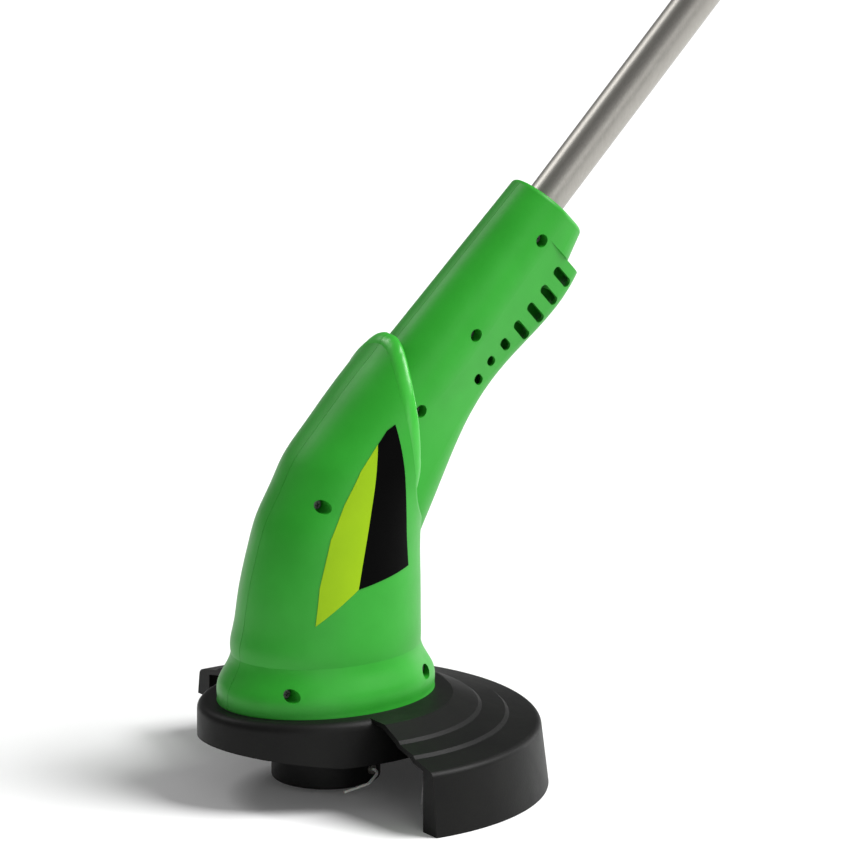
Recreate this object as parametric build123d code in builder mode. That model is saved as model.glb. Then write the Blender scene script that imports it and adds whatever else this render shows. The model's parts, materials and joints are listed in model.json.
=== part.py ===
"""An electric string trimmer: a motor pod over a line head and guard, on a straight tube with two handles.

Frame: millimetres, +Z up the motor axis, origin on that axis at the floor under the line head,
+X towards the operator. The tube leans back in the XZ plane, and its axis meets the motor axis.
"""

import os
from math import acos, cos, radians, sin

from build123d import *

# Tube
TUBE_D = 26.0
TUBE_WALL = 1.3
TUBE_LEAN = 45.0  # degrees from the motor axis
BEND_Z = 200.0  # height where the tube axis meets the motor axis
TUBE_FOOT = 166.0  # places along the tube are counted from that meeting point
TUBE_TOP = 772.0

# Clearances
SLIP = 0.05  # a shaft or tube in its seat
SEAT = 0.1  # a piece in the pocket that holds it
GAP = 0.6  # pieces that pass each other
PARTING = 0.3  # seam between two moulded halves

# Motor housing
WALL = 2.6
FLANGE_Z = 62.0  # underside of the flange, which sits on the guard
FLANGE_HALF_LENGTH = 77.0
FLANGE_HALF_WIDTH = 58.5
HOOD_RADIUS = 37.0
HOOD_REACH = 119.0  # top of the hood's lip, along the tube
NECK_END = 243.0
NECK_END_RADIUS = 24.8
NECK_TAPER = 0.03  # growth of the neck's radius per millimetre down the tube
COLLAR_LENGTH = 21.5
LIP_FILLET = 4.5
RIM_FILLET = 3.0
VENT_HEAD = 26.5  # where the slots begin, below the tube's axis
VENT_FEET = (48.0, 48.0, 48.0, 47.0, 38.0, 35.0, 36.0)
VENT_PITCH = 14.9
VENT_FIRST = 211.0
VENT_WIDTH = 6.5

# Housing screws
BOSS_RADIUS = 6.0
WELL_RADIUS = 4.5
HEAD_RADIUS = 3.5
HEAD_HEIGHT = 2.6
SCREW_RADIUS = 2.0
SCREW_BITE = 12.0  # length in the far half
FLANGE_SCREW_X = 52.5
FLANGE_SCREW_Z = 77.6

# Guard
GUARD_RADIUS = 142.0
GUARD_WALL = 3.0
CUTTER_THICKNESS = 1.2
RIVET_BITE = 2.2  # blind, so nothing shows on the guard's outside
SKIRT_DRAFT = 5.0
SKIRT_FILLET = 5.0
COLLAR_FILLET = 6.0
SKIRT_HEIGHT = 43.0
GUARD_FRONT = -8.0
COLLAR_MARGIN = 13.0
COLLAR_DROP = 31.0
RETURN_WIDTH = 17.0
GUARD_BORE = 17.0
GUARD_SCREW_X = 40.0
GUARD_SCREW_Y = 30.0

# Line head
HEAD_RADIUS_OUT = 36.0
HEAD_TOP = 50.0
COVER_TOP = 31.0
COVER_BOTTOM = 5.0
COVER_WALL = 2.2
BUTTON_RADIUS = 20.0
SPOOL_RADIUS = 31.0
SPOOL_TOP = 27.0
STEM_RADIUS = 7.0
BUMP_TRAVEL = 4.0
LINE_D = 2.0
SPRING_RADIUS = 12.0
SPRING_WIRE = 1.2
SPRING_TURNS = 5
EYELET_Z = 15.0
EYELET_ANGLE = -67.0
EYELET_RADIUS = 3.4

# Motor
SHAFT_RADIUS = 5.0
SHAFT_TIP_RADIUS = 4.0
STATOR_RADIUS = 40.0
STATOR_Z = 100.0
STATOR_HEIGHT = 42.0
AIR_GAP = 0.8
ARMATURE_RADIUS = 24.0
FAN_Z = 76.0
FAN_HEIGHT = 14.0
FAN_RADIUS = 42.0
FAN_BLADES = 11
BRACKET_Z = 64.0
BRACKET_HEIGHT = 7.0
COMMUTATOR_Z = 152.0
COMMUTATOR_HEIGHT = 14.0
COMMUTATOR_RADIUS = 13.0
END_BELL_Z = 174.0
END_BELL_HEIGHT = 6.0
BEARING_WIDTH = 8.0
BEARING_RADIUS = 13.0

# Rear handle
HANDLE_WALL = 2.4
HANDLE_TUBE_SCREW = 745.0
TRIGGER_ALONG = 794.0
TRIGGER_UNDER = 16.0
TRIGGER_REACH = 55.0
TRIGGER_HALF = 6.5
SWITCH_ALONG = 798.0
SWITCH_LENGTH = 26.0
LOCK_ALONG = 794.0
LOCK_LENGTH = 16.0
LOCK_WIDTH = 10.0
INLET_LENGTH = 32.0
INLET_WIDTH = 22.0
INLET_DEPTH = 26.0

# Front handle
FRONT_ALONG = 520.0
FRONT_PIVOT = 29.0
FRONT_WIDTH = 22.0
FRONT_LUG = 8.0
BOLT_RADIUS = 4.0
FRONT_EYE = 20.0
LOOP_TOP = 132.0
LOOP_HALF = 62.0
LOOP_RADIUS = 9.0
GRIP_HALF = 42.0

tube_radius = TUBE_D / 2
tube_dir = Vector(sin(radians(TUBE_LEAN)), 0, cos(radians(TUBE_LEAN)))
under_dir = Vector(cos(radians(TUBE_LEAN)), 0, -sin(radians(TUBE_LEAN)))
SIDE = Vector(0, 1, 0)
# Rise from the flange's underside, and how much of the flange's spread is left there
FLANGE_FLARE = [(0, 1.0), (6, 1.0), (11, 0.97), (16, 0.78), (21, 0.48), (26, 0.2), (32, 0.0)]
WAIST_HALF_LENGTH = 67.0
WAIST_HALF_WIDTH = 51.0
collar_foot = NECK_END - COLLAR_LENGTH


def on_tube(along, under=0.0, side=0.0):
    """A point along the tube axis, moved to the tube's underside and to its side."""
    return Vector(0, 0, BEND_Z) + tube_dir * along + under_dir * under + SIDE * side


def across_tube(along, under=0.0, turn=0.0):
    """A plane square to the tube: local X points to the underside and local Y to the side."""
    plane = Plane(origin=on_tube(along, under), x_dir=under_dir, z_dir=tube_dir)
    return plane.rotated((0, turn, 0))


def chord_plane(front, back):
    """A plane through two points of the XZ plane, whose local X runs from front to back."""
    x_dir = (back - front).normalized()
    return Plane(origin=(front + back) / 2, x_dir=x_dir, z_dir=x_dir.cross(SIDE))


side_plane = Plane.XZ


def at_side(point):
    """A point's place in the side view."""
    return (point.X, point.Z)


# Motor housing forms


# The pod's outline: front X and Z, back X and Z, half width, up to where it bends with the tube
POD_BODY = [
    (-67.0, 94.0, 67.0, 94.0, 51.0),
    (-65.2, 112.0, 67.2, 111.0, 50.4),
    (-62.3, 130.0, 67.2, 128.0, 49.5),
    (-58.4, 149.0, 67.0, 144.0, 48.6),
    (-53.2, 168.0, 66.8, 159.0, 47.6),
    (-46.5, 187.0, 67.3, 172.0, 46.9),
    (-35.2, 206.5, 68.8, 183.0, 46.3),
]
# The pod's hood: front along and under the tube, back along and under the tube, half width
POD_HOOD = [
    (0.0, -35.2, 44.0, 56.0, 45.8),
    (24.0, -36.6, 48.0, 52.0, 45.3),
    (48.0, -37.3, 56.0, 46.5, 44.6),
    (74.0, -37.3, 74.0, 40.0, 43.6),
    (100.0, -37.1, 100.0, 37.0, 42.7),
    (126.0, -36.9, 126.0, 34.0, 41.8),
    (152.0, -36.7, 152.0, 31.0, 40.9),
]


def pod_stations():
    """Front point, back point and half width of the pod's cross sections, from the waist up."""
    body = [(Vector(fx, 0, fz), Vector(bx, 0, bz), half) for fx, fz, bx, bz, half in POD_BODY]
    hood = [(on_tube(fa, fu), on_tube(ba, bu), half) for fa, fu, ba, bu, half in POD_HOOD]
    return body + hood


def lip_points(inset):
    """The hood's lip in the side view, from above its top to below its heel, moved in by inset."""
    places = [
        (HOOD_REACH + 22, -HOOD_RADIUS - 20),
        (HOOD_REACH, -HOOD_RADIUS),
        (HOOD_REACH - 34, -18),
        (HOOD_REACH - 65, 12),
        (HOOD_REACH - 88, 38),
        (HOOD_REACH - 90, 61),
        (HOOD_REACH - 74, 86),
    ]
    return [at_side(on_tube(along, under) - Vector(inset, 0, 0)) for along, under in places]


def pod_form(inset, lip_fillet=0.0):
    """The bent pod from the waist to the hood's rounded lip, drawn in by inset."""
    with BuildPart() as form:
        for front, back, half_width in pod_stations():
            with BuildSketch(chord_plane(front, back)):
                Ellipse((back - front).length / 2 - inset, half_width - inset)
        loft()
        lip = lip_points(inset)
        far_x = NECK_END
        with BuildSketch(side_plane.offset(-2 * WAIST_HALF_WIDTH)):
            with BuildLine():
                Spline(lip)
                Polyline(lip[-1], (far_x, lip[-1][1]), (far_x, 2 * BEND_Z), (lip[0][0], 2 * BEND_Z), lip[0])
            make_face()
        extrude(amount=4 * WAIST_HALF_WIDTH, mode=Mode.SUBTRACT)
        if lip_fillet:
            fillet(form.faces().filter_by(GeomType.EXTRUSION).edges(), lip_fillet)
    return form.part


def keel_stations():
    """Place along the tube, depth below its axis and edge radius of the neck's keel."""
    return [
        (collar_foot, 53.0, 14.0),
        (collar_foot - 27, 56.0, 14.0),
        (collar_foot - 71, 51.0, 15.0),
        (collar_foot - 103, 49.8, 17.0),
        (collar_foot - 136, 55.0, 21.0),
        (collar_foot - 168, 64.0, 26.0),
        (collar_foot - 206, 76.0, 28.0),
    ]


def neck_radius(along):
    return NECK_END_RADIUS + NECK_TAPER * (NECK_END - along)


def egg_section(along, big, depth, small):
    """The hull of a circle on the tube axis and a smaller one whose far side is at depth."""
    reach = depth - small
    lean = acos((big - small) / reach)
    big_x, big_y = big * cos(lean), big * sin(lean)
    small_x, small_y = reach + small * cos(lean), small * sin(lean)
    with BuildSketch(across_tube(along)) as section:
        with BuildLine():
            ThreePointArc((big_x, big_y), (-big, 0), (big_x, -big_y))
            Line((big_x, -big_y), (small_x, -small_y))
            ThreePointArc((small_x, -small_y), (depth, 0), (small_x, small_y))
            Line((small_x, small_y), (big_x, big_y))
        make_face()
    return section.sketch


def keel_form(inset):
    """The neck with its vented keel, from the collar down into the pod, drawn in by inset."""
    sections = []
    for along, depth, small in keel_stations():
        start = along - inset if not sections else along
        sections.append(egg_section(start, neck_radius(along) - inset, depth - inset, small - inset))
    with BuildPart() as form:
        loft(sections)
    return form.part


def collar_form():
    """The plain end of the neck, where the tube goes in."""
    foot = egg_section(collar_foot, neck_radius(collar_foot), 39.4, NECK_END_RADIUS - 3)
    end = egg_section(NECK_END, NECK_END_RADIUS, 33.2, NECK_END_RADIUS - 3)
    with BuildPart() as form:
        loft([foot, end])
        fillet(form.faces().sort_by(Axis(on_tube(0), tube_dir))[-1].edges(), RIM_FILLET)
    return form.part


def flange_form(inset):
    """The flared flange under the waist, drawn in by inset."""
    with BuildPart() as form:
        for rise, spread in FLANGE_FLARE:
            long_half = WAIST_HALF_LENGTH + spread * (FLANGE_HALF_LENGTH - WAIST_HALF_LENGTH)
            wide_half = WAIST_HALF_WIDTH + spread * (FLANGE_HALF_WIDTH - WAIST_HALF_WIDTH)
            with BuildSketch(Plane.XY.offset(FLANGE_Z + rise)):
                Ellipse(long_half - inset, wide_half - inset)
        loft()
    return form.part



# Places of the housing screws in the side view, and the depth of their heads from the parting plane
screw_sites = [
    (Vector(-FLANGE_SCREW_X, 0, FLANGE_SCREW_Z), 31.0),
    (Vector(FLANGE_SCREW_X, 0, FLANGE_SCREW_Z), 31.0),
    (Vector(-22.5, 0, BEND_Z + 0.5), 22.0),
    (on_tube(77, 2), 20.0),
    (on_tube(140, 2), 17.5),
    (on_tube(217, 0), 16.0),
]


def side_cylinders(sites, radius, start, end):
    """Cylinders along Y at the given sites, from start to end."""
    with BuildPart() as pins:
        for point in sites:
            with BuildSketch(side_plane.offset(-start)):
                with Locations(at_side(point)):
                    Circle(radius)
        extrude(amount=start - end)
    return pins.part


# Motor housing
with BuildPart() as housing_outer:
    add(flange_form(0))
    add(pod_form(0, LIP_FILLET))
    add(keel_form(0))
    add(collar_form())

with BuildPart() as housing_inner:
    add(flange_form(WALL))
    add(pod_form(WALL))
    add(keel_form(WALL))

boss_points = [point for point, depth in screw_sites]
with BuildPart() as housing_ribs:
    add(side_cylinders(boss_points, BOSS_RADIUS, -FLANGE_HALF_WIDTH, FLANGE_HALF_WIDTH))
    for along in (TUBE_FOOT + 4, TUBE_FOOT + 30):
        with BuildSketch(across_tube(along)):
            Rectangle(3 * NECK_END_RADIUS, 3 * NECK_END_RADIUS)
        extrude(amount=4)
    for height in (STATOR_Z + 4, STATOR_Z + STATOR_HEIGHT - 8):
        with BuildSketch(Plane.XY.offset(height)):
            Ellipse(WAIST_HALF_LENGTH, WAIST_HALF_WIDTH)
            Circle(STATOR_RADIUS + SEAT, mode=Mode.SUBTRACT)
        extrude(amount=4)
    add(housing_inner.part, mode=Mode.INTERSECT)

vent_places = [(VENT_FIRST - VENT_PITCH * step, foot) for step, foot in enumerate(VENT_FEET)]
with BuildPart() as housing_blank:
    add(housing_outer.part)
    add(housing_inner.part, mode=Mode.SUBTRACT)
    add(housing_ribs.part)
    with BuildSketch(across_tube(TUBE_FOOT)):
        Circle(tube_radius + SLIP)
    extrude(amount=NECK_END, mode=Mode.SUBTRACT)
    for along, foot in vent_places:
        middle = on_tube(along, (VENT_HEAD + foot) / 2)
        with BuildSketch(Plane(origin=middle, x_dir=under_dir, z_dir=-SIDE)):
            SlotOverall(foot - VENT_HEAD, VENT_WIDTH)
        extrude(amount=WAIST_HALF_WIDTH, both=True, mode=Mode.SUBTRACT)
print("housing", housing_blank.part.is_valid, len(housing_blank.part.solids()))

with BuildPart() as housing_half:
    add(housing_blank.part)
    split(bisect_by=Plane.XZ.offset(PARTING / 2), keep=Keep.TOP)

with BuildPart() as housing_left:
    add(housing_half.part)
    for point, depth in screw_sites:
        add(side_cylinders([point], WELL_RADIUS, -FLANGE_HALF_WIDTH - 5, -depth), mode=Mode.SUBTRACT)
    add(side_cylinders(boss_points, SCREW_RADIUS + SEAT, -FLANGE_HALF_WIDTH, 0), mode=Mode.SUBTRACT)
housing_left.part.label = "housing_left"

with BuildPart() as housing_right:
    add(housing_half.part.mirror(Plane.XZ))
    add(side_cylinders(boss_points, SCREW_RADIUS, -1, SCREW_BITE + 2), mode=Mode.SUBTRACT)
housing_right.part.label = "housing_right"
for half in (housing_left, housing_right):
    print(half.part.label, half.part.is_valid, len(half.part.solids()), round(half.part.volume))


# Tube
with BuildPart() as shaft_tube:
    with BuildSketch(across_tube(TUBE_FOOT + 2)):
        Circle(tube_radius)
        Circle(tube_radius - TUBE_WALL, mode=Mode.SUBTRACT)
    extrude(amount=TUBE_TOP - TUBE_FOOT - 2)
    add(side_cylinders([on_tube(217, 0)], SCREW_RADIUS + SEAT, -TUBE_D, TUBE_D), mode=Mode.SUBTRACT)
    add(side_cylinders([on_tube(HANDLE_TUBE_SCREW, 0)], SCREW_RADIUS + SEAT, -TUBE_D, TUBE_D), mode=Mode.SUBTRACT)
shaft_tube.part.label = "shaft_tube"


def screw(point, depth, bite):
    """A pan-head screw along Y, its head's underside at depth on the left of the parting plane."""
    with BuildPart() as body:
        with BuildSketch(side_plane.offset(depth)):
            with Locations(at_side(point)):
                Circle(HEAD_RADIUS)
        extrude(amount=HEAD_HEIGHT)
        fillet(body.edges().sort_by(Axis.Y)[0], 0.9)
        with BuildSketch(side_plane.offset(depth + HEAD_HEIGHT)):
            with Locations(at_side(point)):
                Rectangle(3.6, 0.9)
                Rectangle(0.9, 3.6)
        extrude(amount=-1.2, mode=Mode.SUBTRACT)
        with BuildSketch(side_plane.offset(depth)):
            with Locations(at_side(point)):
                Circle(SCREW_RADIUS - SLIP)
        extrude(amount=-depth - bite)
    return body.part


with BuildPart() as housing_screws:
    for point, depth in screw_sites:
        add(screw(point, depth, SCREW_BITE))
housing_screws.part.label = "housing_screws"

# Guard
terrace = [
    (GUARD_RADIUS + SKIRT_DRAFT, 0),
    (GUARD_RADIUS, SKIRT_HEIGHT),
    (GUARD_RADIUS - 21, SKIRT_HEIGHT + 4.5),
    (GUARD_RADIUS - 23.5, SKIRT_HEIGHT + 6.5),
    (GUARD_RADIUS - 39, SKIRT_HEIGHT + 10),
    (GUARD_RADIUS - 41.5, SKIRT_HEIGHT + 12),
    (GUARD_RADIUS - 58, FLANGE_Z),
]
collar_x = FLANGE_HALF_LENGTH + COLLAR_MARGIN
collar_y = FLANGE_HALF_WIDTH + COLLAR_MARGIN

guard_sites = [(x, y) for x in (-GUARD_SCREW_X, GUARD_SCREW_X) for y in (-GUARD_SCREW_Y, GUARD_SCREW_Y)]
cutter_y = -GUARD_RADIUS - SKIRT_DRAFT + 11.5
cutter_x = GUARD_FRONT + GUARD_WALL
cutter_sites = [(cutter_y, 15), (cutter_y, 29)]

with BuildPart() as guard_mass:
    with BuildSketch(Plane.XZ) as profile:
        with BuildLine():
            Polyline(*terrace, (0, FLANGE_Z), (0, 0), close=True)
        make_face()
        fillet(profile.vertices().sort_by_distance((GUARD_RADIUS, SKIRT_HEIGHT))[0], SKIRT_FILLET)
    revolve(axis=Axis.Z)

with BuildPart() as collar:
    with BuildSketch(Plane.XY.offset(COLLAR_DROP)):
        Ellipse(collar_x, collar_y)
    extrude(amount=FLANGE_Z - COLLAR_DROP)
    fillet(collar.edges().group_by(Axis.Z)[-1], COLLAR_FILLET)
    with BuildSketch(Plane.XY.offset(COLLAR_DROP)):
        Ellipse(collar_x - GUARD_WALL, collar_y - GUARD_WALL)
    extrude(amount=FLANGE_Z - GUARD_WALL - COLLAR_DROP, mode=Mode.SUBTRACT)
    with BuildSketch(side_plane):
        with BuildLine():
            Polyline((-30, COLLAR_DROP), (-collar_x - 10, COLLAR_DROP + 10), (-collar_x - 10, 0), (-30, 0), close=True)
        make_face()
    extrude(amount=2 * collar_y, both=True, mode=Mode.SUBTRACT)

with BuildPart() as returns:
    for hand in (-1, 1):
        with BuildSketch(Plane.XY):
            with Locations((GUARD_FRONT + GUARD_WALL / 2, hand * (GUARD_RADIUS + SKIRT_DRAFT - RETURN_WIDTH / 2))):
                Rectangle(GUARD_WALL, RETURN_WIDTH)
        extrude(amount=SKIRT_HEIGHT)
    add(guard_mass.part, mode=Mode.INTERSECT)

with BuildPart() as guard:
    inner = [(r - GUARD_WALL, max(z - GUARD_WALL, 0)) for r, z in terrace]
    with BuildSketch(Plane.XZ) as hollow:
        with BuildLine():
            Polyline(*inner, (0, FLANGE_Z - GUARD_WALL), (0, 0), close=True)
        make_face()
    revolve(axis=Axis.Z)
    add(guard_mass.part - guard.part, mode=Mode.REPLACE)
    with BuildSketch(Plane.XY):
        with Locations((GUARD_FRONT - GUARD_RADIUS, 0)):
            Rectangle(2 * GUARD_RADIUS, 3 * GUARD_RADIUS)
    extrude(amount=FLANGE_Z + 10, mode=Mode.SUBTRACT)
    add(collar.part)
    add(returns.part)
    with BuildSketch(Plane.XY.offset(COLLAR_DROP)):
        Circle(GUARD_BORE)
    extrude(amount=FLANGE_Z, mode=Mode.SUBTRACT)
    with BuildSketch(Plane.YZ):
        with BuildLine():
            Polyline((GUARD_RADIUS * 0.55, -1), (GUARD_RADIUS * 0.8, 26), (2 * GUARD_RADIUS, 26),
                     (2 * GUARD_RADIUS, -1), close=True)
        make_face()
    extrude(amount=GUARD_RADIUS, both=True, mode=Mode.SUBTRACT)
    with BuildSketch(Plane.XY.offset(FLANGE_Z - 2 * GUARD_WALL)):
        with Locations(*guard_sites):
            Circle(SCREW_RADIUS + SEAT)
    extrude(amount=4 * GUARD_WALL, mode=Mode.SUBTRACT)
    with BuildSketch(Plane.YZ.offset(cutter_x - RIVET_BITE)):
        with Locations(*cutter_sites):
            Circle(SCREW_RADIUS + SEAT)
    extrude(amount=2 * GUARD_WALL, mode=Mode.SUBTRACT)
guard.part.label = "guard"

with BuildPart() as guard_screws:
    with BuildSketch(Plane.XY.offset(FLANGE_Z - GUARD_WALL - HEAD_HEIGHT)):
        with Locations(*guard_sites):
            Circle(HEAD_RADIUS)
    extrude(amount=HEAD_HEIGHT)
    with BuildSketch(Plane.XY.offset(FLANGE_Z - GUARD_WALL)):
        with Locations(*guard_sites):
            Circle(SCREW_RADIUS - SLIP)
    extrude(amount=BRACKET_Z + BRACKET_HEIGHT - FLANGE_Z + GUARD_WALL - 1)
guard_screws.part.label = "guard_screws"

with BuildPart() as line_cutter:
    with BuildSketch(Plane.YZ.offset(cutter_x)):
        with BuildLine():
            Polyline((cutter_y - 3, 10), (cutter_y + 10, 10), (cutter_y + 13, 16), (cutter_y + 10, 34),
                     (cutter_y - 3, 34), close=True)
        make_face()
        with Locations(*cutter_sites):
            Circle(SCREW_RADIUS + SEAT, mode=Mode.SUBTRACT)
    extrude(amount=CUTTER_THICKNESS)
    chamfer(line_cutter.edges().filter_by(Axis.Z).sort_by(Axis.Y)[-1:], 0.5)
line_cutter.part.label = "line_cutter"

with BuildPart() as cutter_rivets:
    with BuildSketch(Plane.YZ.offset(cutter_x + CUTTER_THICKNESS)):
        with Locations(*cutter_sites):
            Circle(HEAD_RADIUS)
    extrude(amount=1.6)
    with BuildSketch(Plane.YZ.offset(cutter_x + CUTTER_THICKNESS)):
        with Locations(*cutter_sites):
            Circle(SCREW_RADIUS)
    extrude(amount=SLIP - CUTTER_THICKNESS - RIVET_BITE)
cutter_rivets.part.label = "cutter_rivets"

# Line head
with BuildPart() as head_base:
    with BuildSketch(Plane.XZ):
        with BuildLine():
            Polyline((SHAFT_TIP_RADIUS + SLIP, COVER_TOP + 7), (10, COVER_TOP + 7), (10, HEAD_TOP - 4),
                     (HEAD_RADIUS_OUT - 6, HEAD_TOP - 4), (HEAD_RADIUS_OUT - 3.4, COVER_TOP + 6),
                     (HEAD_RADIUS_OUT - 3.4, COVER_TOP - 6), (HEAD_RADIUS_OUT - COVER_WALL - SEAT, COVER_TOP - 6),
                     (HEAD_RADIUS_OUT - COVER_WALL - SEAT, COVER_TOP + SEAT), (HEAD_RADIUS_OUT, COVER_TOP + SEAT),
                     (HEAD_RADIUS_OUT, COVER_TOP + 8), (HEAD_RADIUS_OUT - 4, HEAD_TOP), (13, HEAD_TOP),
                     (11, HEAD_TOP + 6), (SHAFT_TIP_RADIUS + SLIP, HEAD_TOP + 6), close=True)
        make_face()
    revolve(axis=Axis.Z)
head_base.part.label = "head_base"

def radial_plane(angle, height, radius=0.0):
    """A plane facing out from the motor axis at an angle, a height and a radius."""
    out = Vector(cos(radians(angle)), sin(radians(angle)), 0)
    return Plane(origin=Vector(0, 0, height) + out * radius, x_dir=(0, 0, 1), z_dir=out)


with BuildPart() as head_cover:
    with BuildSketch(Plane.XZ):
        with BuildLine():
            Polyline((BUTTON_RADIUS + GAP, COVER_BOTTOM), (HEAD_RADIUS_OUT, COVER_BOTTOM), (HEAD_RADIUS_OUT, COVER_TOP),
                     (HEAD_RADIUS_OUT - COVER_WALL, COVER_TOP), (HEAD_RADIUS_OUT - COVER_WALL, COVER_BOTTOM + COVER_WALL),
                     (BUTTON_RADIUS + GAP, COVER_BOTTOM + COVER_WALL), close=True)
        make_face()
    revolve(axis=Axis.Z)
    fillet(head_cover.edges().filter_by(GeomType.CIRCLE).group_by(Axis.Z)[0].sort_by(SortBy.RADIUS)[-1], 1.9)
    for hand in (0, 180):
        with BuildSketch(radial_plane(EYELET_ANGLE + hand, EYELET_Z)):
            Circle(EYELET_RADIUS + SLIP)
        extrude(amount=2 * HEAD_RADIUS_OUT, mode=Mode.SUBTRACT)
head_cover.part.label = "head_cover"


with BuildPart() as line_eyelets:
    for angle in (EYELET_ANGLE, EYELET_ANGLE + 180):
        with BuildSketch(radial_plane(angle, EYELET_Z, HEAD_RADIUS_OUT - COVER_WALL - 0.2)):
            Circle(EYELET_RADIUS)
            Circle(LINE_D / 2 + 0.5, mode=Mode.SUBTRACT)
        extrude(amount=COVER_WALL + 2)
line_eyelets.part.label = "line_eyelets"

with BuildPart() as tap_button:
    with BuildSketch(Plane.XZ):
        with BuildLine():
            Polyline((0, 0), (BUTTON_RADIUS - 7, 0), (BUTTON_RADIUS - 2, 2), (BUTTON_RADIUS, COVER_BOTTOM), (BUTTON_RADIUS, COVER_BOTTOM + COVER_WALL + 0.2),
                     (STEM_RADIUS, COVER_BOTTOM + COVER_WALL + 0.2), (STEM_RADIUS, SPOOL_TOP + 4), (0, SPOOL_TOP + 4), close=True)
        make_face()
    revolve(axis=Axis.Z)
tap_button.part.label = "tap_button"

spool_foot = COVER_BOTTOM + COVER_WALL + 0.5
with BuildPart() as spool:
    with BuildSketch(Plane.XZ):
        with BuildLine():
            Polyline((STEM_RADIUS + 0.08, spool_foot), (SPOOL_RADIUS, spool_foot), (SPOOL_RADIUS, spool_foot + 2), (13, spool_foot + 2),
                     (13, SPOOL_TOP - 2), (SPOOL_RADIUS, SPOOL_TOP - 2), (SPOOL_RADIUS, SPOOL_TOP), (STEM_RADIUS + 0.08, SPOOL_TOP), close=True)
        make_face()
    revolve(axis=Axis.Z)
spool.part.label = "spool"

with BuildPart() as spool_clip:
    with BuildSketch(Plane.XY.offset(SPOOL_TOP + 0.4)):
        Circle(SPRING_RADIUS + 2)
        Circle(STEM_RADIUS + SLIP, mode=Mode.SUBTRACT)
    extrude(amount=2)
spool_clip.part.label = "spool_clip"

# Wound line: one helix on the spool's hub, and the free ends that leave by the eyelets
WINDING_TURNS = 5
winding_radius = 13 + LINE_D / 2 + 0.3
winding_pitch = (SPOOL_TOP - spool_foot - 4 - LINE_D - 0.8) / WINDING_TURNS
with BuildPart() as wound_line:
    with BuildLine():
        coil = Helix(winding_pitch, winding_pitch * WINDING_TURNS, winding_radius, center=(0, 0, spool_foot + 2.4 + LINE_D / 2))
    with BuildSketch(Plane(origin=coil @ 0, z_dir=coil % 0)):
        Circle(LINE_D / 2)
    sweep(is_frenet=True)
wound_line.part.label = "wound_line"
print("winding gap", round(winding_pitch - LINE_D, 2))


def line_end(angle):
    """A curled end of nylon line, out through an eyelet and round the foot of the cover."""
    def place(radius, turn, height):
        return Vector(radius * cos(radians(angle + turn)), radius * sin(radians(angle + turn)), height)
    with BuildPart() as end:
        with BuildLine():
            path = FilletPolyline(place(HEAD_RADIUS_OUT - 4, 0, EYELET_Z), place(HEAD_RADIUS_OUT + 7, 0, EYELET_Z),
                                  place(HEAD_RADIUS_OUT + 6, -14, EYELET_Z - 7), place(HEAD_RADIUS_OUT + 3, -38, EYELET_Z - 11), radius=4)
        with BuildSketch(Plane(origin=path @ 0, z_dir=path % 0)):
            Circle(LINE_D / 2)
        sweep(transition=Transition.ROUND)
    return end.part


with BuildPart() as cutting_line:
    for angle in (EYELET_ANGLE, EYELET_ANGLE + 180):
        add(line_end(angle))
cutting_line.part.label = "cutting_line"

# Motor
shaft_foot = COVER_TOP + 7.5
with BuildPart() as motor_shaft:
    with BuildSketch(Plane.XY.offset(shaft_foot)):
        Circle(SHAFT_TIP_RADIUS)
    extrude(amount=HEAD_TOP + 7 - shaft_foot)
    with BuildSketch(Plane.XY.offset(HEAD_TOP + 7)):
        Circle(SHAFT_RADIUS)
    extrude(amount=END_BELL_Z + END_BELL_HEIGHT - 4 - HEAD_TOP - 7)
motor_shaft.part.label = "motor_shaft"


def bearing(z):
    """A sealed ball bearing on the motor shaft, as one ring with its shield grooves."""
    with BuildPart() as ring:
        with BuildSketch(Plane.XY.offset(z)):
            Circle(BEARING_RADIUS)
            Circle(SHAFT_RADIUS + SLIP, mode=Mode.SUBTRACT)
        extrude(amount=BEARING_WIDTH)
        for face in (z, z + BEARING_WIDTH - 0.6):
            with BuildSketch(Plane.XY.offset(face)):
                Circle(BEARING_RADIUS - 2)
                Circle(SHAFT_RADIUS + 2, mode=Mode.SUBTRACT)
            extrude(amount=0.6, mode=Mode.SUBTRACT)
    return ring.part


lower_bearing_z = BRACKET_Z - 0.5
upper_bearing_z = END_BELL_Z - 3
with BuildPart() as lower_bearing:
    add(bearing(lower_bearing_z))
lower_bearing.part.label = "lower_bearing"
with BuildPart() as upper_bearing:
    add(bearing(upper_bearing_z))
upper_bearing.part.label = "upper_bearing"

with BuildPart() as motor_bracket:
    with BuildSketch(Plane.XY.offset(BRACKET_Z)):
        Ellipse(FLANGE_HALF_LENGTH - WALL - GAP, FLANGE_HALF_WIDTH - WALL - GAP)
        Circle(BEARING_RADIUS + SLIP, mode=Mode.SUBTRACT)
        with PolarLocations(30, 4, start_angle=0):
            SlotOverall(22, 9, rotation=90, mode=Mode.SUBTRACT)
    extrude(amount=3)
    with BuildSketch(Plane.XY.offset(BRACKET_Z)):
        Circle(BEARING_RADIUS + 4)
        Circle(BEARING_RADIUS + SLIP, mode=Mode.SUBTRACT)
    extrude(amount=BRACKET_HEIGHT)
    with BuildSketch(Plane.XY.offset(FLANGE_Z)):
        with Locations(*guard_sites):
            Circle(6)
    extrude(amount=BRACKET_Z + BRACKET_HEIGHT - FLANGE_Z)
    with BuildSketch(Plane.XY.offset(FLANGE_Z)):
        with Locations(*guard_sites):
            Circle(SCREW_RADIUS)
    extrude(amount=BRACKET_HEIGHT + 2, mode=Mode.SUBTRACT)
motor_bracket.part.label = "motor_bracket"

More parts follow.
